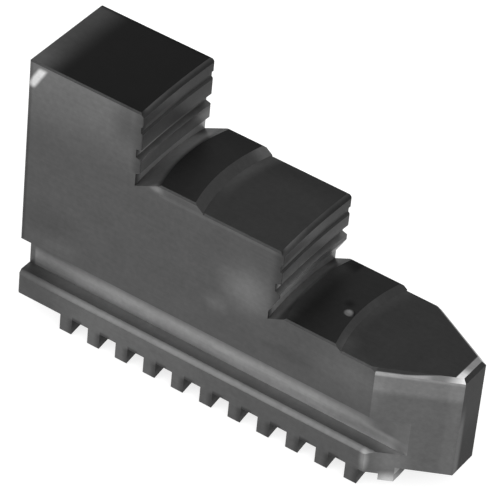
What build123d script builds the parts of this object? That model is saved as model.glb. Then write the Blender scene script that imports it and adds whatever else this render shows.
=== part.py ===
from build123d import *
import math
import os

# Reverse jaw of a three-jaw scroll chuck, in millimetres, made from one bar of steel.
# X runs from the tall outer end to the nose, which points at the chuck's axis. Y runs across, Z up.
# The origin is the middle of the underside, level with the tips of the scroll teeth.
# Lengths along the jaw are taken from the outer end, and heights from the tooth tips.

# Overall size
jaw_length = 100.5
jaw_width = 24.0
jaw_height = 64.0

# Stepped top: a tall step, a middle step and a low step that ends in the nose
tall_step = 27.35  # from the outer end to the first gripping face, on the centre line
middle_step = 34.3  # from the first gripping face to the second
step_drop = 16.5  # from one step's face down to the next
middle_rise = 1.5  # how far the ground seat stands above the middle step's face
low_rise = 1.0
middle_seat = 13.75  # from the gripping face to the foot of the seat, on the centre line
low_seat = 13.35
seat_cutter_radius = 40.0  # face mill that clears the step in front of each seat
seat_slope = 38.0  # degrees from level

# Gripping faces, hollow ground about one far axis, so that they are nearly straight across
grip_axis = 250.0  # from the outer end
grip_chamfer = 0.9
arris_radius = 0.35  # rounded upright edges
fine_groove_drop = 4.0  # from the step's face down to the middle of the groove
fine_groove_width = 2.0
fine_groove_depth = 0.5
high_groove_rise = 4.5  # from the undercut's lip up to the middle of the wide groove
low_groove_rise = 2.3
wide_groove_width = 2.6
wide_groove_depth = 1.25
groove_draft = 0.35  # how far each groove narrows at its floor, at each side
high_undercut_rise = 0.5  # from the seat up to the undercut's lip
low_undercut_rise = 4.2
high_undercut_depth = 1.0
low_undercut_depth = 2.2

# Slanted relief between each undercut and its seat, with an arc for its upper edge
high_relief_length = 3.4  # from the gripping face, on the centre line
low_relief_length = 0.35
relief_radius = 37.0
relief_slope = 27.0  # degrees from level

# Nose
nose_length = 15.5
tip_width = 7.4
nose_chamfer = 0.8
nose_lift = 6.3  # height of the nose's underside
nose_lift_length = 10.0

# Guide grooves and rails at both sides
rail_top = 9.8
guide_height = 8.5
guide_depth = 3.9
rail_chamfer = 1.0

# Scroll teeth, crescents in plan
pitch = 7.0
tooth_height = 4.2
tooth_thickness = 3.4  # on the centre line
plain_end_length = 9.9  # from the outer end to the first tooth, on the centre line
outer_flank_radius = 66.0  # smallest turn of the scroll
inner_flank_radius = 110.0  # largest turn of the scroll
lead_tooth_height = 1.6  # the last tooth, next to the nose, is cut short

edge_break = 0.35
tip_break = 0.3  # round the tips of the teeth

# Test mark that a ball has left at the low seat's edge
ball_radius = 2.0
mark_depth = 0.3
mark_from_grip = 10.95
mark_off_centre = -2.3

overrun = 1.0  # how far cuts run past the faces that they open on
select_margin = 0.05  # how far from its stated place an edge or face is still found

half_width = jaw_width / 2
middle_face = jaw_height - step_drop
low_face = middle_face - step_drop
low_grip = tall_step + middle_step
nose_start = jaw_length - nose_length
high_undercut = (high_undercut_rise, high_undercut_depth, high_groove_rise, high_relief_length)
low_undercut = (low_undercut_rise, low_undercut_depth, low_groove_rise, low_relief_length)
steps = [
    (tall_step, jaw_height, middle_face, middle_rise, middle_seat, high_undercut),
    (low_grip, middle_face, low_face, low_rise, low_seat, low_undercut),
]
tooth_run = jaw_length - nose_lift_length - tooth_thickness / 2 - plain_end_length
tooth_count = int(tooth_run / pitch) + 1

outer_end = (-jaw_length / 2, 0, 0)
side_view = Plane(origin=outer_end, x_dir=(1, 0, 0), z_dir=(0, -1, 0))
plan_view = Plane(origin=outer_end)
end_view = Plane(origin=outer_end, x_dir=(0, 1, 0), z_dir=(1, 0, 0))


def groove_outline(grip, middle, width, depth):
    """Four corners of a groove in a gripping face, from its upper lip to its lower lip."""
    return [
        (grip, middle + width / 2),
        (grip - depth, middle + width / 2 - groove_draft),
        (grip - depth, middle - width / 2 + groove_draft),
        (grip, middle - width / 2),
    ]


def bow(radius, reach=half_width):
    """How far an arc across the jaw leans along it, from the centre line to this reach."""
    return radius - math.sqrt(radius**2 - reach**2)


def flank_arc(position, radius):
    """Flank that crosses the centre line at position and curves towards the nose at both sides."""
    reach = half_width + overrun
    end = position + bow(radius, reach)
    return ThreePointArc((end, -reach), (position, 0), (end, reach))


def upright_axis(position):
    """Upright axis on the middle plane, this far from the outer end."""
    return Axis((position - jaw_length / 2, 0, 0), (0, 0, 1))


def at_place(shapes, axis, place):
    """The edges or faces whose middle is at this place along the axis."""
    return shapes.filter_by_position(axis, place - select_margin, place + select_margin)


def close_ends(first, second):
    """Straight lines that join the ends of two flanks."""
    Line(first @ 0, second @ 0)
    Line(first @ 1, second @ 1)


with BuildPart() as jaw:
    # Low part of the bar, with the wedge of the nose and its bevelled top
    with BuildSketch(plan_view):
        with BuildLine():
            Polyline(
                (0, -half_width),
                (nose_start, -half_width),
                (jaw_length, -tip_width / 2),
                (jaw_length, tip_width / 2),
                (nose_start, half_width),
                (0, half_width),
                close=True,
            )
        make_face()
    extrude(amount=low_face)
    nose_edges = at_place(jaw.edges(), Axis.Z, low_face)
    chamfer(nose_edges.filter_by_position(Axis.X, nose_start - jaw_length / 2, jaw_length / 2), nose_chamfer)

    # Rest of the bar, that the steps are cut from
    with BuildSketch(plan_view.offset(low_face)):
        Rectangle(nose_start, jaw_width, align=(Align.MIN, Align.CENTER))
    extrude(amount=jaw_height - low_face)
    outer_edges = at_place(jaw.edges().filter_by(Axis.Z), Axis.X, -jaw_length / 2)
    chamfer(outer_edges + at_place(jaw.edges(), Axis.Z, jaw_height), edge_break)

    for grip, lip, face, rise, seat, undercut in steps:
        undercut_rise, undercut_depth, groove_rise, relief_length = undercut
        seat_level = face + rise
        undercut_lip = seat_level + undercut_rise
        # Gripping face with its grooves and undercut, and the seat in front of it
        with BuildSketch(side_view):
            with BuildLine():
                Polyline(
                    (grip_axis, lip + overrun),
                    (grip - grip_chamfer - overrun, lip + overrun),
                    (grip, lip - grip_chamfer),
                    *groove_outline(grip, lip - fine_groove_drop, fine_groove_width, fine_groove_depth),
                    *groove_outline(grip, undercut_lip + groove_rise, wide_groove_width, wide_groove_depth),
                    (grip, undercut_lip),
                    (grip - undercut_depth, seat_level),
                    (grip_axis, seat_level),
                    close=True,
                )
            make_face()
        revolve(axis=upright_axis(grip_axis), mode=Mode.SUBTRACT)
        # Slanted relief, from the seat down to the foot of the undercut
        relief_edge = grip + relief_length
        with BuildPart(mode=Mode.SUBTRACT):
            with BuildSketch(side_view):
                with BuildLine():
                    Polyline(
                        (relief_edge, seat_level),
                        (relief_edge - half_width, seat_level),
                        (relief_edge - half_width, seat_level - half_width * math.tan(math.radians(relief_slope))),
                        close=True,
                    )
                make_face()
            revolve(axis=upright_axis(relief_edge + relief_radius))
            with BuildSketch(plan_view.offset(seat_level)):
                with Locations((grip_axis, 0)):
                    Circle(grip_axis - grip + undercut_depth)
            extrude(amount=-half_width, mode=Mode.INTERSECT)
        # Rounded upright edges of the gripping face
        grip_at_side = grip + bow(grip_axis - grip)
        with BuildSketch(plan_view.offset(seat_level)):
            for side, outwards in ((-1, Align.MAX), (1, Align.MIN)):
                with Locations((grip_at_side - arris_radius, side * (half_width - arris_radius))):
                    Rectangle(arris_radius + overrun, arris_radius + overrun, align=(Align.MIN, outwards))
                    Circle(arris_radius, mode=Mode.SUBTRACT)
        extrude(amount=lip + overrun - seat_level, mode=Mode.SUBTRACT)
        # Step cleared in front of the seat, down to its face
        with BuildSketch(plan_view.offset(face)):
            with Locations((grip + seat + seat_cutter_radius, 0)):
                Circle(seat_cutter_radius)
                Rectangle(jaw_length, 2 * seat_cutter_radius, align=(Align.MIN, Align.CENTER))
        extrude(amount=rise + overrun, taper=seat_slope - 90, mode=Mode.SUBTRACT)
        # Broken side edges of the seat, then of the cleared step
        for start, level in [(relief_edge, seat_level), (grip + seat + bow(seat_cutter_radius), face)]:
            with BuildSketch(end_view.offset(start)):
                for side in (-1, 1):
                    with BuildLine():
                        Polyline(
                            (side * (half_width - edge_break - overrun), level + overrun),
                            (side * (half_width + overrun), level - edge_break - overrun),
                            (side * (half_width + overrun), level + overrun),
                            close=True,
                        )
                    make_face()
            extrude(amount=jaw_length - start, mode=Mode.SUBTRACT)

    # Guide grooves along both sides, which leave the rails below them
    with BuildSketch(end_view):
        for side in (-1, 1):
            with BuildLine():
                Polyline(
                    (side * (half_width + overrun), rail_top - rail_chamfer - overrun),
                    (side * (half_width - rail_chamfer), rail_top),
                    (side * (half_width - guide_depth), rail_top),
                    (side * (half_width - guide_depth), rail_top + guide_height),
                    (side * (half_width - edge_break), rail_top + guide_height),
                    (side * (half_width + overrun), rail_top + guide_height + edge_break + overrun),
                    close=True,
                )
            make_face()
    extrude(amount=jaw_length, mode=Mode.SUBTRACT)

    # Spaces between the scroll teeth, with the plain stretch at the outer end
    with BuildSketch(plan_view):
        for index in range(tooth_count + 1):
            with BuildLine():
                if index == 0:
                    before = Line((-overrun, -half_width - overrun), (-overrun, half_width + overrun))
                else:
                    before = flank_arc(plain_end_length + (index - 1) * pitch + tooth_thickness, inner_flank_radius)
                if index == tooth_count:
                    past_nose = jaw_length + overrun
                    after = Line((past_nose, -half_width - overrun), (past_nose, half_width + overrun))
                else:
                    after = flank_arc(plain_end_length + index * pitch, outer_flank_radius)
                close_ends(before, after)
            make_face()
    extrude(amount=tooth_height, mode=Mode.SUBTRACT)

    # Short lead tooth, and the lifted underside of the nose
    lead_tooth = plain_end_length + (tooth_count - 1) * pitch
    with BuildSketch(plan_view):
        with Locations((lead_tooth - overrun, 0)):
            Rectangle(jaw_length, jaw_width, align=(Align.MIN, Align.CENTER))
    extrude(amount=tooth_height - lead_tooth_height, mode=Mode.SUBTRACT)
    with BuildSketch(plan_view):
        with Locations((jaw_length - nose_lift_length, 0)):
            Rectangle(jaw_length, jaw_width, align=(Align.MIN, Align.CENTER))
    extrude(amount=nose_lift, mode=Mode.SUBTRACT)

    chamfer(at_place(jaw.edges(), Axis.Z, 0), tip_break)

    # Ball mark in the low seat
    with Locations(
        (
            low_grip + mark_from_grip - jaw_length / 2,
            mark_off_centre,
            low_face + low_rise + ball_radius - mark_depth,
        )
    ):
        Sphere(ball_radius, mode=Mode.SUBTRACT)

os.makedirs("parts", exist_ok=True)
jaw.part.label = "chuck_jaw"
export_step(jaw.part, "parts/chuck_jaw.step")
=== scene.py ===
import bpy
from mathutils import Matrix

# Looks of a reverse chuck jaw: the CAD solid as it is, in dark hardened steel with ground faces
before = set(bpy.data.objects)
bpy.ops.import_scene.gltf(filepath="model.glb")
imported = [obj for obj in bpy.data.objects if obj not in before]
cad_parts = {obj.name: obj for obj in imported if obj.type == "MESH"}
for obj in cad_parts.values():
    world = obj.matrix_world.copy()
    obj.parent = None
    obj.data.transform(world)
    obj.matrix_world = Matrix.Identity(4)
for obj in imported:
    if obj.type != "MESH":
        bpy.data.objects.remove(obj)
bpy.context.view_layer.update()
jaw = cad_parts["chuck_jaw"]


# Camera

cameraValues = {
    "place": (0.29644, -0.50234, 0.51585),
    "right": (0.82134, 0.56503, 0.07832),
    "up": (-0.41162, 0.49201, 0.76713),
    "back": (0.39492, -0.66232, 0.63669),
    "lens": 276.1,
    "sensor": 36.0,
    "nearest": 0.05,
    "farthest": 20,
}


def makeCamera(values):
    data = bpy.data.cameras.new("camera")
    data.lens = values["lens"]
    data.sensor_width = values["sensor"]
    data.clip_start = values["nearest"]
    data.clip_end = values["farthest"]
    camera = bpy.data.objects.new("camera", data)
    bpy.context.scene.collection.objects.link(camera)
    turn = Matrix((values["right"], values["up"], values["back"])).transposed()
    camera.matrix_world = Matrix.Translation(values["place"]) @ turn.to_4x4()
    bpy.context.scene.camera = camera


makeCamera(cameraValues)
print("camera placed")


# Helpers for materials


class Bench:  # the nodes of one material or world; methods give back the sockets they make

    def __init__(self, tree):
        tree.nodes.clear()
        self.nodes = tree.nodes
        self.link = tree.links.new

    def put(self, value, socket):  # a number or another socket
        if isinstance(value, (int, float)):
            socket.default_value = value
        else:
            self.link(value, socket)

    def math(self, operation, *values):
        node = self.nodes.new("ShaderNodeMath")
        node.operation = operation
        for value, socket in zip(values, node.inputs):
            self.put(value, socket)
        return node.outputs[0]

    def product(self, first, *others):
        for other in others:
            first = self.math("MULTIPLY", first, other)
        return first

    def larger(self, first, second):
        return self.math("MAXIMUM", first, second)

    def slope(self, value, rise, start):  # the value times the rise, plus the start
        return self.math("MULTIPLY_ADD", value, rise, start)

    def past(self, value, start, end):  # 0 before the start, 1 after the end, smooth between
        node = self.nodes.new("ShaderNodeMapRange")
        node.interpolation_type = "SMOOTHSTEP"
        node.inputs["From Min"].default_value = start
        node.inputs["From Max"].default_value = end
        self.link(value, node.inputs["Value"])
        return node.outputs["Result"]

    def between(self, value, low, high, soft):  # 1 between low and high, with soft edges outside
        rise = self.past(value, low - soft, low)
        fall = self.past(value, high, high + soft)
        return self.math("SUBTRACT", rise, fall)

    def mix(self, mask, under, over):  # over where the mask is 1
        node = self.nodes.new("ShaderNodeMix")
        node.data_type = "FLOAT"
        for name, value in (("Factor", mask), ("A", under), ("B", over)):
            socket = [s for s in node.inputs if s.name == name and s.type == "VALUE"][0]
            self.put(value, socket)
        return [s for s in node.outputs if s.type == "VALUE"][0]

    def ramp(self, value, start, end, before, after):
        return self.mix(self.past(value, start, end), before, after)

    def shaded(self, tone, mask, factor):  # the tone, times the factor where the mask is 1
        return self.product(tone, self.mix(mask, 1.0, factor))

    def split(self, vector):
        node = self.nodes.new("ShaderNodeSeparateXYZ")
        self.link(vector, node.inputs[0])
        return node.outputs

    def vector(self, operation, first, second=None):
        node = self.nodes.new("ShaderNodeVectorMath")
        node.operation = operation
        self.link(first, node.inputs[0])
        if second is not None:
            node.inputs[1].default_value = second
        return node.outputs


class JawBench(Bench):  # also knows each point's place on the jaw, in millimetres, and its facing

    millimetresInMetre = (1000, 1000, 1000)

    def __init__(self, tree):
        super().__init__(tree)
        metres = self.nodes.new("ShaderNodeTexCoord").outputs["Object"]
        self.place = self.vector("MULTIPLY", metres, self.millimetresInMetre)["Vector"]
        self.x, self.y, self.z = self.split(self.place)
        normal = self.nodes.new("ShaderNodeNewGeometry").outputs["Normal"]
        self.facingX, self.facingY, self.facingZ = self.split(normal)
        self.across = self.math("ABSOLUTE", self.y)
        self.acrossSquared = self.product(self.y, self.y)
        self.facingAcross = self.math("ABSOLUTE", self.facingY)

    def spot(self, middle, reach, core):  # 1 in an egg round the middle, fading out to its reach
        offset = self.vector("SUBTRACT", self.place, middle)["Vector"]
        share = self.vector("DIVIDE", offset, reach)["Vector"]
        distance = self.vector("LENGTH", share)["Value"]
        return self.past(distance, 1, core)

    def noise(self, stretch, scale, detail, roughness):
        mapping = self.nodes.new("ShaderNodeMapping")
        mapping.inputs["Scale"].default_value = stretch
        self.link(self.place, mapping.inputs["Vector"])
        noise = self.nodes.new("ShaderNodeTexNoise")
        noise.inputs["Scale"].default_value = scale
        noise.inputs["Detail"].default_value = detail
        noise.inputs["Roughness"].default_value = roughness
        self.link(mapping.outputs["Vector"], noise.inputs["Vector"])
        return noise.outputs["Fac"]


# Steel of the jaw. Tones are linear greys, and lengths are millimetres in the part's own frame. Each
# kind of face has its own tone, partly the steel's finish (dark oxide tops and seats, ground sides)
# and partly painted light, shade and reflections.
# Two numbers are the start and end of a fade, three are a band's low, high and softness,
# and four are a fade's start and end with the tone, factor or height before and after it.

jawValues = {
    "facing": {
        "sideways": (0.76, 0.84),
        "upward": (0.82, 0.88),
        "downward": (-0.80, -0.90),
        "toNose": (0.78, 0.88),
        "squareOn": (0.36, 0.26),
        "bevel": (0.68, 0.74, 0.03),
    },
    "steps": {
        "floorTone": 0.0280,
        "seatTone": 0.0150,
        "middleSeatHeight": (48.2, 49.4, 0.3),
        "middleSeatAcross": (-12, 9, 0.0189, 0.0150),
        "lowSeatHeight": (31.6, 32.4, 0.2),
        "lowSeatAlong": (11.4, 16.0, 0.0510, 0.0165),
        "middleStepHeight": (46, 46.5),
        "footArc": -0.0179,
        "lowFootShine": (27.6, 24.6),
        "middleFootShine": (-5.8, -9.0),
        "shineAcross": (-10, 8),
        "shineNear": 1.1,
        "lowShineFar": 1.5,
        "middleShineFar": 2.2,
        "lowLedgeHeight": (33.4, 46.2, 0.2),
        "lowLedgeAcross": (-11.9, -9.6, 0.100, 0.125),
        "highLedgeHeight": (50.2, 62.6, 0.2),
        "highLedgeAcross": (-11.9, -9.6, 0.0784, 0.098),
        "middleReliefFacing": (-0.30, -0.40),
        "middleReliefHeight": (40, 41),
        "middleReliefAcross": (-12, 6, 0.0935, 0.289),
        "middleReliefFarEnd": (7.5, 10.5, 1.0, 0.22),
        "middleReliefArc": -0.0139,
        "middleReliefEdge": (-20.9, -19.1),
        "lowReliefHeight": (28, 32.4, 0.2),
        "lowReliefAlong": (17.0, 16.0),
        "lowReliefEdge": (12.4, 11.0),
        "lowReliefAcross": (-12, -5, 0.114, 0.190),
        "lowReliefFarEnd": (7.5, 10.5, 1.0, 0.30),
        "middleBack": (4, 11),
        "middleBackShade": 0.75,
    },
    "tops": {
        "railHeight": (20, 22),
        "railAcross": (8.3, 11.0, 0.170, 0.1054),
        "railOuterEnd": (-49.5, -38, 0.46, 1.0),
        "railAtNose": (38.6, 40.4),
        "railAtNoseTone": 0.2128,
        "tallHeight": (62, 63),
        "tallAlong": (-49.8, -42.0),
        "tallTone": 0.0050,
        "tallEndAcross": (-2, -10, 0.052, 0.078),
        "tallFarEdge": (10.4, 11.6, 1.0, 0.35),
        "tipStrip": (48.2, 49.5, 0.25),
        "tipStripAcross": (0.2, -3.0, 0.220, 0.704),
    },
    "sides": {
        "upwards": (44, 64, 0.080, 0.132),
        "outerEdge": (-52, -49.6, 0.6),
        "outerEdgeShade": 0.72,
        "highGripAlong": (-25.4, -22.9),
        "highGripHeight": (48.6, 49.6),
        "lowGripBehind": (8.9, 11.4),
        "lowGripBefore": (14.4, 12.4),
        "lowGripHeight": (31.6, 33.0),
        "besideGripShade": 0.62,
        "stepLineHeight": (46.5, 47.1, 0.25),
        "stepLineAlong": (-17.5, 11.0, 0.5),
        "stepLineShine": 1.18,
        "streakSlope": -0.558,
        "streakWidth": (-82.3, -81.5, 1.0),
        "streakHeight": (58.4, 62.2, 1.2),
        "streakShine": 4.6,
    },
    "rail": {
        "top": (9.7, 9.9),
        "along": (-28, 12, 0.11664, 0.0864),
        "outerEnd": (-45, -31, 0.66, 1.0),
        "toothPitch": 7.0,
        "firstGap": 36.3,
        "rootHeight": (5.2, 4.4),
        "rootWidth": (0.0, 2.1, 0.7),
        "rootsAlong": (-36.4, 33.5, 0.1),
        "rootShade": 0.50,
        "toothEdge": (5.3, 7.0),
        "toothHeight": (4.8, 3.4),
        "toothShade": 0.52,
    },
    "groove": {
        "height": (9.8, 18.3, 0.1),
        "depth": (9.0, 8.6),
        "tone": 0.430,
        "aboveFoot": (9.6, 11.2),
        "footAlong": (-10, 10, 0.50, 0.80),
        "nearTop": (12.4, 15.6),
        "middleAlong": (18, 30, 0.80, 0.64),
        "topShade": 0.24,
        "outerEnd": (-48, -28, 0.60, 0.96),
        "noseEnd": (37.5, 40.6, 1.0, 0.50),
        "outerEdge": (-52, -49.3, 0.6),
        "outerEdgeHeight": (15, 13),
        "outerEdgeShade": 0.45,
        "runOutAlong": (30, 37),
        "runOutHeight": (12.0, 13.2),
        "runOutTone": 0.1232,
    },
    "wedge": {
        "facing": (0.30, 0.42),
        "upwards": (24.5, 26.5, 0.112, 0.164),
        "tipEdge": (48.2, 49.6, 0.9),
        "tipEdgeShine": 1.12,
        "topLine": (29.3, 29.9),
        "topLineAlong": (38, 43, 1.9, 1.4),
    },
    "highGrip": {
        "middle": -22.9,
        "hollow": 0.002246,
        "downwards": (62, 49.5, 0.058, 0.1508),
        "grooveDepth": (0.2, 0.9),
        "grooveFloor": (-11.9, -9.6, 0.55, 2.2),
        "acrossFace": (-10, 6),
        "nearEnd": (53, 51, 1.4, 1.1),
        "farEnd": (53, 51, 0.5, 1.0),
    },
    "lowGrip": {
        "middle": 11.4,
        "hollow": 0.002654,
        "downwards": (46, 33, 0.068, 0.2448),
        "grooveDepth": (0.2, 0.9),
        "grooveFloor": (-11.9, -9.6, 0.32, 2.0),
        "acrossFace": (-9, 6),
        "nearEnd": (36, 34, 1.65, 0.85),
        "farEnd": (36, 34, 0.45, 0.45),
    },
    "ends": {
        "lowGripAlong": (0, 1),
        "tipAlong": (45, 46),
        "tipUpwards": (10, 22, 0.01344, 0.032),
        "tipLitAcross": (-1.4, -2.8),
        "tipLitHeight": (8, 17, 8),
        "tipLitTone": 0.140,
        "teethHeight": (4.6, 4.4),
        "toothDownwards": (2.6, 1.0, 0.007, 0.049),
        "leadToothAlong": (38.0, 38.5),
        "leadToothTone": 0.12,
    },
    "slants": {
        "footTone": 0.0480,
        "middleStepHeight": (46, 46.5),
        "middleFootFarEnd": (7.5, 10.5),
        "middleFootShine": 1.9,
        "lowStepHeight": (40, 39),
        "lowFootFarEnd": (4, 9),
        "lowFootShade": 0.88,
        "topBreakFacing": (0.76, 0.80, 0.02),
        "topBreakTone": 0.040,
        "gripBevelFacing": (0.60, 0.66),
        "gripBevelAcross": (-2, 5, 0.45, 0.85),
        "railBevelHeight": (8.7, 9.9, 0.05),
        "railBevelAlong": (-47, -33, 0.06144, 0.128),
        "railBevelUpper": (9.30, 9.80, 1.0, 0.55),
        "railBevelLower": (9.05, 8.75, 1.0, 0.75),
    },
    "noseBevel": {
        "start": (34.6, 34.9),
        "behindTip": (42.8, 44.8),
        "behindTipTone": 0.234,
        "towardsTip": (46.2, 50.6, 0.1352, 0.598),
        "highlightLine": (39, 48, 30.42, 31.10),
        "highlightLineSoft": (-0.12, 0.12),
        "aboveLineTone": 0.0280,
        "tipFacing": (0.50, 0.60),
        "tipTone": 0.0384,
    },
    "undersides": {
        "belowGrips": (25, 30, 0.040, 0.150),
    },
    "arrises": {
        "facingAcross": (0.40, 0.93, 0.06),
        "facingNose": (0.20, 0.30),
        "beforeNose": (34, 33),
        "aboveRail": (20, 21),
        "tone": 0.060,
    },
    "ballMark": {
        "middle": (22.05, -2.3, 31.8),
        "reach": (1.2, 1.2, 1.2),
        "core": 0.5,
        "tone": 0.128,
    },
    "finish": {
        "ior": 1.5,
        "specularLevel": 0.05,
        "metallic": 0.60,
        "roughness": 0.32,
        "grainRoughness": 0.2,
        "bump": 0.10,
        "bumpHeight": 0.00005,
    },
    # Ground grain along the jaw, and cloudy patches: stretch, scale, detail, roughness, strength
    "grain": ((0.12, 2.2, 2.2), 1.0, 4, 0.65, 0.14),
    "cloud": ((1, 1, 1), 0.16, 3, 0.5, 0.12),
    "mottle": ((1, 1, 1), 0.9, 2, 0.5, 0.14),
    # Soft patches, partly wear from rubbing and grinding and partly painted light, shade and
    # highlights: middle, reach, and how much lighter or darker
    "patches": {
        "rubbedSideAndSheen": ((4.2, -12.0, 34.2), (9.0, 4.0, 8.6), 1.80),
        "rubbedLowAndSheen": ((-2.6, -12.0, 27.4), (4.5, 3.0, 3.4), 1.35),
        "besideGrip": ((-26.0, -12.0, 60.0), (5.5, 3.0, 8.5), 0.68),
        "lowFloor": ((26.5, -9.0, 31.0), (3.5, 3.5, 1.2), 1.45),
        "lowEnd": ((-41.0, -12.0, 21.5), (8.0, 3.0, 4.0), 1.20),
        "besideNose": ((30.0, -12.0, 26.5), (12.0, 3.0, 9.0), 1.32),
        "lowOuterSide": ((-44.0, -12.0, 26.0), (10.0, 3.0, 7.0), 0.82),
        "noseLow": ((39.5, -9.5, 8.0), (6.5, 4.0, 6.0), 1.40),
        "grooveShade": ((15.5, -12.0, 23.6), (9.0, 3.0, 2.6), 0.85),
        "stepShine": ((-18.4, -12.0, 47.9), (2.4, 1.6, 1.3), 2.1),
        "railCorner": ((34.6, -12.0, 7.2), (1.4, 2.0, 4.0), 2.6),
        "markShade": ((20.8, 0.0, 32.0), (1.6, 1.6, 1.0), 0.40),
        "leadTooth": ((39.5, -9.5, 2.0), (5.0, 5.0, 3.6), 5.6),
    },
}


def stepTone(bench, values):  # floors, seats, ledges of the grip grooves, and reliefs
    x, y, z = bench.x, bench.y, bench.z
    past, between, mix, ramp = bench.past, bench.between, bench.mix, bench.ramp

    # Floors, with a shine beside the arc at the foot of each seat
    fromFoot = bench.slope(bench.acrossSquared, values["footArc"], x)
    onMiddleStep = past(z, *values["middleStepHeight"])
    lowShine = past(fromFoot, *values["lowFootShine"])
    besideFoot = mix(onMiddleStep, lowShine, past(fromFoot, *values["middleFootShine"]))
    shineFar = mix(onMiddleStep, values["lowShineFar"], values["middleShineFar"])
    shine = mix(past(y, *values["shineAcross"]), values["shineNear"], shineFar)
    tone = bench.shaded(values["floorTone"], besideFoot, shine)

    # Seats, near black partly by their finish and partly by painted shade, with painted light near
    # the foot of the low gripping face and on the middle seat's near side
    lowSeat = ramp(x, *values["lowSeatAlong"])
    lowRelief = ramp(y, *values["lowReliefAcross"])
    lowSeat = mix(past(x, *values["lowReliefEdge"]), lowSeat, lowRelief)
    tone = mix(between(z, *values["lowSeatHeight"]), tone, lowSeat)
    middleSeat = ramp(y, *values["middleSeatAcross"])
    tone = mix(between(z, *values["middleSeatHeight"]), tone, middleSeat)

    # Ledges of the grooves in the gripping faces, in the gripping faces' lighter tone as painted
    # light over the grooves' shade, and darker at the near end
    lowLedge = ramp(y, *values["lowLedgeAcross"])
    tone = mix(between(z, *values["lowLedgeHeight"]), tone, lowLedge)
    highLedge = ramp(y, *values["highLedgeAcross"])
    tone = mix(between(z, *values["highLedgeHeight"]), tone, highLedge)

    # Reliefs that slope down behind the seats, with painted light that grows across the width and
    # painted shade at the far end
    nearHalf = bench.math("MINIMUM", y, 0)
    fromArc = bench.slope(bench.product(nearHalf, nearHalf), values["middleReliefArc"], x)
    farEnd = ramp(y, *values["middleReliefFarEnd"])
    middleRelief = bench.product(ramp(y, *values["middleReliefAcross"]), farEnd)
    pastEdge = past(fromArc, *values["middleReliefEdge"])
    middleRelief = mix(pastEdge, middleRelief, values["seatTone"])
    sloping = past(bench.facingX, *values["middleReliefFacing"])
    onMiddleRelief = bench.product(sloping, past(z, *values["middleReliefHeight"]))
    tone = mix(onMiddleRelief, tone, middleRelief)
    lowReliefHeight = between(z, *values["lowReliefHeight"])
    onLowRelief = bench.product(lowReliefHeight, past(x, *values["lowReliefAlong"]))
    lowRelief = bench.product(lowSeat, ramp(y, *values["lowReliefFarEnd"]))
    tone = mix(onLowRelief, tone, lowRelief)

    # Painted shade at the back of the middle step
    middleBack = bench.product(onMiddleStep, past(y, *values["middleBack"]))
    return bench.shaded(tone, middleBack, values["middleBackShade"])


def upwardTone(bench, values):  # every face that looks up
    past, mix, ramp = bench.past, bench.mix, bench.ramp
    tops = values["tops"]
    # Rail tops: painted light by the groove wall and towards the nose, painted shade at the outer end
    outerEnd = ramp(bench.x, *tops["railOuterEnd"])
    railTop = bench.product(ramp(bench.across, *tops["railAcross"]), outerEnd)
    railTop = mix(past(bench.x, *tops["railAtNose"]), railTop, tops["railAtNoseTone"])
    tone = mix(past(bench.z, *tops["railHeight"]), railTop, stepTone(bench, values["steps"]))
    # Tall top: near black, partly by its finish and partly painted shade, with painted light at the
    # outer end and painted shade along the far edge
    tallEnd = ramp(bench.y, *tops["tallEndAcross"])
    tallTop = ramp(bench.x, *tops["tallAlong"], tallEnd, tops["tallTone"])
    tallTop = bench.product(tallTop, ramp(bench.y, *tops["tallFarEdge"]))
    tone = mix(past(bench.z, *tops["tallHeight"]), tone, tallTop)
    # Painted highlight: a pale strip on the flat top just behind the tip's bevel
    tipStrip = ramp(bench.y, *tops["tipStripAcross"])
    return mix(bench.between(bench.x, *tops["tipStrip"]), tone, tipStrip)


def upperSideTone(bench, values):
    x, z = bench.x, bench.z
    past, between, shaded = bench.past, bench.between, bench.shaded
    # Painted light and shade on the sides above the rails: lighter towards the top, painted shade at
    # the outer edge and beside the gripping faces, and a painted shine along the step line
    tone = bench.ramp(z, *values["upwards"])
    tone = shaded(tone, between(x, *values["outerEdge"]), values["outerEdgeShade"])
    highGripHeight = past(z, *values["highGripHeight"])
    besideHighGrip = bench.product(past(x, *values["highGripAlong"]), highGripHeight)
    lowGripAlong = bench.product(past(x, *values["lowGripBehind"]), past(x, *values["lowGripBefore"]))
    besideLowGrip = bench.product(lowGripAlong, past(z, *values["lowGripHeight"]))
    tone = shaded(tone, bench.larger(besideHighGrip, besideLowGrip), values["besideGripShade"])
    stepLineHeight = between(z, *values["stepLineHeight"])
    stepLine = bench.product(stepLineHeight, between(x, *values["stepLineAlong"]))
    tone = shaded(tone, stepLine, values["stepLineShine"])

    # Painted highlight: a bright slanting streak on the tall block's worn outer corner
    fromStreak = bench.slope(z, values["streakSlope"], x)
    streakHeight = between(z, *values["streakHeight"])
    streak = bench.product(between(fromStreak, *values["streakWidth"]), streakHeight)
    return shaded(tone, streak, values["streakShine"])


def railSideTone(bench, values):  # painted light and shade: lighter towards the outer end but darker at the very end, with painted shade at the roots of the teeth and down one edge of each
    x, z = bench.x, bench.z
    past, between, shaded = bench.past, bench.between, bench.shaded
    tone = bench.product(bench.ramp(x, *values["along"]), bench.ramp(x, *values["outerEnd"]))
    pitch = values["toothPitch"]
    gapShare = bench.math("FRACT", bench.slope(x, 1 / pitch, values["firstGap"] / pitch))
    fromGap = bench.product(gapShare, pitch)
    rootSize = bench.product(between(fromGap, *values["rootWidth"]), past(z, *values["rootHeight"]))
    roots = bench.product(rootSize, between(x, *values["rootsAlong"]))
    tone = shaded(tone, roots, values["rootShade"])
    teeth = bench.product(past(fromGap, *values["toothEdge"]), past(z, *values["toothHeight"]))
    return shaded(tone, teeth, values["toothShade"])


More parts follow.
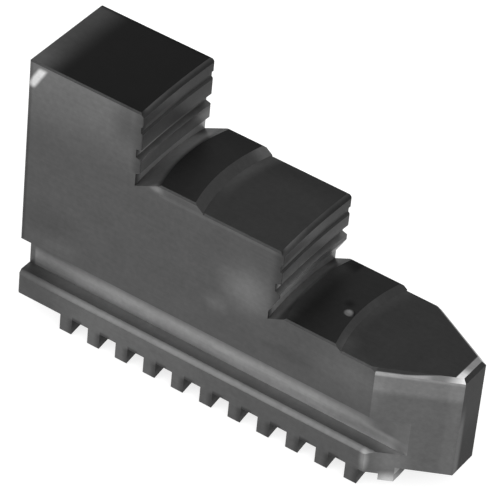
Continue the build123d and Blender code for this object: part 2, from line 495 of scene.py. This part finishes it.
def grooveWallTone(bench, values):  # painted reflection and shade: brightest low down, dark under the upper edge and towards both ends
    x, z = bench.x, bench.z
    past, mix, ramp = bench.past, bench.mix, bench.ramp
    nearTop = past(z, *values["nearTop"])
    aboveFoot = mix(nearTop, ramp(x, *values["middleAlong"]), values["topShade"])
    height = mix(past(z, *values["aboveFoot"]), ramp(x, *values["footAlong"]), aboveFoot)
    tone = bench.product(values["tone"], height)
    tone = bench.product(tone, ramp(x, *values["outerEnd"]), ramp(x, *values["noseEnd"]))
    outerEdgeHeight = past(z, *values["outerEdgeHeight"])
    outerEdge = bench.product(bench.between(x, *values["outerEdge"]), outerEdgeHeight)
    tone = bench.shaded(tone, outerEdge, values["outerEdgeShade"])
    runOut = bench.product(past(x, *values["runOutAlong"]), past(z, *values["runOutHeight"]))
    return mix(runOut, tone, values["runOutTone"])


def wedgeTone(bench, values):  # sides of the nose: lighter towards the top, with a painted shine by the tip and a painted highlight along the top line
    x, z = bench.x, bench.z
    tone = bench.ramp(z, *values["upwards"])
    tone = bench.shaded(tone, bench.between(x, *values["tipEdge"]), values["tipEdgeShine"])
    topLine = bench.past(z, *values["topLine"])
    return bench.shaded(tone, topLine, bench.ramp(x, *values["topLineAlong"]))


def sidewaysTone(bench, values, sideways):  # every face that looks to a side
    railTop = bench.past(bench.z, *values["rail"]["top"])
    rail = railSideTone(bench, values["rail"])
    tone = bench.mix(railTop, rail, upperSideTone(bench, values["sides"]))
    groove = values["groove"]
    deepIn = bench.past(bench.across, *groove["depth"])
    inGroove = bench.product(bench.between(bench.z, *groove["height"]), deepIn)
    tone = bench.mix(inGroove, tone, grooveWallTone(bench, groove))
    wedge = values["wedge"]
    onWedge = bench.product(sideways, bench.past(bench.facingX, *wedge["facing"]))
    return bench.mix(onWedge, tone, wedgeTone(bench, wedge))


def gripTone(bench, values):  # a gripping face with its grooves, in painted light and shade: lighter low down, groove floors darker at the near end and lighter further in, and a tone that changes from the near end to the far end
    ramp = bench.ramp
    tone = ramp(bench.z, *values["downwards"])
    face = bench.slope(bench.acrossSquared, values["hollow"], values["middle"])
    depth = bench.math("SUBTRACT", face, bench.x)
    grooveFloor = ramp(bench.y, *values["grooveFloor"])
    tone = bench.shaded(tone, bench.past(depth, *values["grooveDepth"]), grooveFloor)
    nearEnd = ramp(bench.z, *values["nearEnd"])
    farEnd = ramp(bench.z, *values["farEnd"])
    return bench.product(tone, ramp(bench.y, *values["acrossFace"], nearEnd, farEnd))


def noseTipTone(bench, values):
    tone = bench.ramp(bench.z, *values["tipUpwards"])
    # Lighter towards the top, and a lighter band of painted light on the near part of the tip face
    litHeight = bench.between(bench.z, *values["tipLitHeight"])
    litPart = bench.product(bench.past(bench.y, *values["tipLitAcross"]), litHeight)
    return bench.mix(litPart, tone, values["tipLitTone"])


def towardsNoseTone(bench, values, nearTeeth, atTip):  # gripping faces, tip and tooth flanks
    ends = values["ends"]
    onLowGrip = bench.past(bench.x, *ends["lowGripAlong"])
    highGrip = gripTone(bench, values["highGrip"])
    tone = bench.mix(onLowGrip, highGrip, gripTone(bench, values["lowGrip"]))
    tone = bench.mix(atTip, tone, noseTipTone(bench, ends))
    # Tooth flanks: painted shade up in the gaps, lighter towards the tips, and lighter on the lead
    # tooth
    tooth = bench.ramp(bench.z, *ends["toothDownwards"])
    tooth = bench.ramp(bench.x, *ends["leadToothAlong"], tooth, ends["leadToothTone"])
    return bench.mix(nearTeeth, tone, tooth)


def noseBevelTone(bench, values):  # painted highlight below a line, dark above it and at the tip
    towardsTip = bench.ramp(bench.x, *values["towardsTip"])
    tone = bench.ramp(bench.x, *values["behindTip"], values["behindTipTone"], towardsTip)
    belowLine = bench.math("SUBTRACT", bench.ramp(bench.x, *values["highlightLine"]), bench.z)
    litPart = bench.past(belowLine, *values["highlightLineSoft"])
    tone = bench.mix(litPart, values["aboveLineTone"], tone)
    return bench.mix(bench.past(bench.facingX, *values["tipFacing"]), tone, values["tipTone"])


def slantedTone(bench, values, towardsNose):  # feet of the seats, broken edges and bevels
    x, y, z = bench.x, bench.y, bench.z
    past, mix, product, ramp = bench.past, bench.mix, bench.product, bench.ramp
    slants = values["slants"]
    middleStep = past(z, *slants["middleStepHeight"])
    middleFoot = product(past(y, *slants["middleFootFarEnd"]), middleStep)
    foot = bench.shaded(slants["footTone"], middleFoot, slants["middleFootShine"])
    lowFoot = product(past(y, *slants["lowFootFarEnd"]), past(z, *slants["lowStepHeight"]))
    foot = bench.shaded(foot, lowFoot, slants["lowFootShade"])
    topBreak = bench.between(bench.facingZ, *slants["topBreakFacing"])
    tone = mix(topBreak, slants["topBreakTone"], foot)

    bevels = bench.between(bench.facingZ, *values["facing"]["bevel"])
    # Grip bevels take the gripping face's tone, darkened as painted shade, most on the near side
    gripBevels = product(bevels, past(bench.facingX, *slants["gripBevelFacing"]))
    tone = mix(gripBevels, tone, product(towardsNose, ramp(y, *slants["gripBevelAcross"])))
    noseBevels = product(bevels, past(x, *values["noseBevel"]["start"]))
    tone = mix(noseBevels, tone, noseBevelTone(bench, values["noseBevel"]))
    # Rail bevels: a painted highlight, brightest in the middle of their height and darker towards the
    # outer end
    railBevels = product(bevels, bench.between(z, *slants["railBevelHeight"]))
    railBevel = product(ramp(x, *slants["railBevelAlong"]), ramp(z, *slants["railBevelUpper"]))
    railBevel = product(railBevel, ramp(z, *slants["railBevelLower"]))
    return mix(railBevels, tone, railBevel)


def arrisMask(bench, values):  # rounded upright edges of the gripping faces
    across = bench.between(bench.facingAcross, *values["facingAcross"])
    upright = bench.product(across, bench.past(bench.facingX, *values["facingNose"]))
    beforeNose = bench.past(bench.x, *values["beforeNose"])
    return bench.product(upright, beforeNose, bench.past(bench.z, *values["aboveRail"]))


def makeJawSteel(values):
    material = bpy.data.materials.new("jawSteel")
    material.use_nodes = True
    bench = JawBench(material.node_tree)
    past, mix = bench.past, bench.mix

    facing = values["facing"]
    sideways = past(bench.facingAcross, *facing["sideways"])
    upward = past(bench.facingZ, *facing["upward"])
    downward = past(bench.facingZ, *facing["downward"])
    squareOn = past(bench.facingAcross, *facing["squareOn"])
    toNose = bench.product(past(bench.facingX, *facing["toNose"]), squareOn)
    nearTeeth = past(bench.z, *values["ends"]["teethHeight"])
    atTip = past(bench.x, *values["ends"]["tipAlong"])

    towardsNose = towardsNoseTone(bench, values, nearTeeth, atTip)
    tone = slantedTone(bench, values, towardsNose)
    tone = mix(toNose, tone, towardsNose)
    tone = mix(sideways, tone, sidewaysTone(bench, values, sideways))
    tone = mix(upward, tone, upwardTone(bench, values))
    # Downward faces: lighter high up under the gripping faces, painted light over their shade
    tone = mix(downward, tone, bench.ramp(bench.z, *values["undersides"]["belowGrips"]))
    # Painted shade on the rounded upright edges of the gripping faces
    tone = mix(arrisMask(bench, values["arrises"]), tone, values["arrises"]["tone"])
    mark = values["ballMark"]
    hollow = bench.spot(mark["middle"], mark["reach"], mark["core"])
    tone = mix(hollow, tone, mark["tone"])
    # Soft patches of painted light and shade, some of them also wear
    for middle, reach, strength in values["patches"].values():
        tone = bench.shaded(tone, bench.spot(middle, reach, 0.0), strength)
    patterns = {}
    for name in ("grain", "cloud", "mottle"):
        *shape, strength = values[name]
        patterns[name] = bench.noise(*shape)
        tone = bench.product(tone, bench.slope(patterns[name], strength * 2, 1 - strength))

    finish = values["finish"]
    output = bench.nodes.new("ShaderNodeOutputMaterial")
    shader = bench.nodes.new("ShaderNodeBsdfPrincipled")
    bench.link(shader.outputs["BSDF"], output.inputs["Surface"])
    shader.inputs["IOR"].default_value = finish["ior"]
    shader.inputs["Specular IOR Level"].default_value = finish["specularLevel"]
    bench.link(tone, shader.inputs["Base Color"])
    dull = bench.product(toNose, bench.larger(nearTeeth, atTip))
    bench.link(mix(dull, finish["metallic"], 0.0), shader.inputs["Metallic"])
    roughness = bench.slope(patterns["grain"], finish["grainRoughness"], finish["roughness"])
    bench.link(roughness, shader.inputs["Roughness"])
    bump = bench.nodes.new("ShaderNodeBump")
    bump.inputs["Strength"].default_value = finish["bump"]
    bump.inputs["Distance"].default_value = finish["bumpHeight"]
    bench.link(patterns["grain"], bump.inputs["Height"])
    bench.link(bump.outputs["Normal"], shader.inputs["Normal"])
    return material


jaw.material_slots[0].material = makeJawSteel(jawValues)
print("steel made")


# Floor, room and lamps: stage only

floorValues = {
    "size": 2.4,
    "tone": 0.42,
    "glow": 0.78,
}

roomValues = {
    "light": 0.44,
    "gloss": 0.80,
    "white": 1.0,
}

lampValues = {
    "key": {"place": (-0.55, -0.95, 0.45), "power": 9.0, "size": 0.9},
    "fill": {"place": (0.75, -0.55, 0.75), "power": 5.0, "size": 0.9},
    "top": {"place": (0.0, 0.25, 1.3), "power": 4.0, "size": 1.2},
}


def seenDirectly(bench):  # 1 for rays that show the background itself: camera, gloss and glass
    path = bench.nodes.new("ShaderNodeLightPath").outputs
    cameraOrGloss = bench.larger(path["Is Camera Ray"], path["Is Glossy Ray"])
    return bench.larger(cameraOrGloss, path["Is Transmission Ray"])


def makeFloor(values):
    half = values["size"] / 2
    corners = [(-half, -half, 0), (half, -half, 0), (half, half, 0), (-half, half, 0)]
    mesh = bpy.data.meshes.new("floor")
    mesh.from_pydata(corners, [], [(0, 1, 2, 3)])
    floor = bpy.data.objects.new("floor", mesh)
    bpy.context.scene.collection.objects.link(floor)
    material = bpy.data.materials.new("paleFloor")
    material.use_nodes = True
    bench = Bench(material.node_tree)
    output = bench.nodes.new("ShaderNodeOutputMaterial")
    matt = bench.nodes.new("ShaderNodeBsdfDiffuse")
    matt.inputs["Color"].default_value = (values["tone"],) * 3 + (1,)
    glow = bench.nodes.new("ShaderNodeEmission")
    glowStrength = bench.product(seenDirectly(bench), values["glow"])
    bench.link(glowStrength, glow.inputs["Strength"])
    together = bench.nodes.new("ShaderNodeAddShader")
    bench.link(matt.outputs[0], together.inputs[0])
    bench.link(glow.outputs[0], together.inputs[1])
    bench.link(together.outputs[0], output.inputs["Surface"])
    mesh.materials.append(material)


def makeRoom(values):  # white to the camera, and plain light for the jaw
    world = bpy.data.worlds.new("room")
    world.use_nodes = True
    bench = Bench(world.node_tree)
    output = bench.nodes.new("ShaderNodeOutputWorld")
    background = bench.nodes.new("ShaderNodeBackground")
    background.inputs["Color"].default_value = (1, 1, 1, 1)
    strength = bench.mix(seenDirectly(bench), values["light"], values["gloss"])
    path = bench.nodes.new("ShaderNodeLightPath").outputs
    strength = bench.mix(path["Is Camera Ray"], strength, values["white"])
    bench.link(strength, background.inputs["Strength"])
    bench.link(background.outputs[0], output.inputs["Surface"])
    bpy.context.scene.world = world


def makeLamp(name, values):  # square lamp that looks at the origin
    data = bpy.data.lights.new(name, "AREA")
    data.energy = values["power"]
    data.size = values["size"]
    lamp = bpy.data.objects.new(name, data)
    bpy.context.scene.collection.objects.link(lamp)
    lamp.location = values["place"]
    away = lamp.location.normalized()
    lamp.rotation_mode = "QUATERNION"
    lamp.rotation_quaternion = away.to_track_quat("Z", "Y")


makeFloor(floorValues)
makeRoom(roomValues)
for lampName, lampSettings in lampValues.items():
    makeLamp(lampName, lampSettings)
bpy.context.scene.view_settings.view_transform = "Standard"
print("studio made")
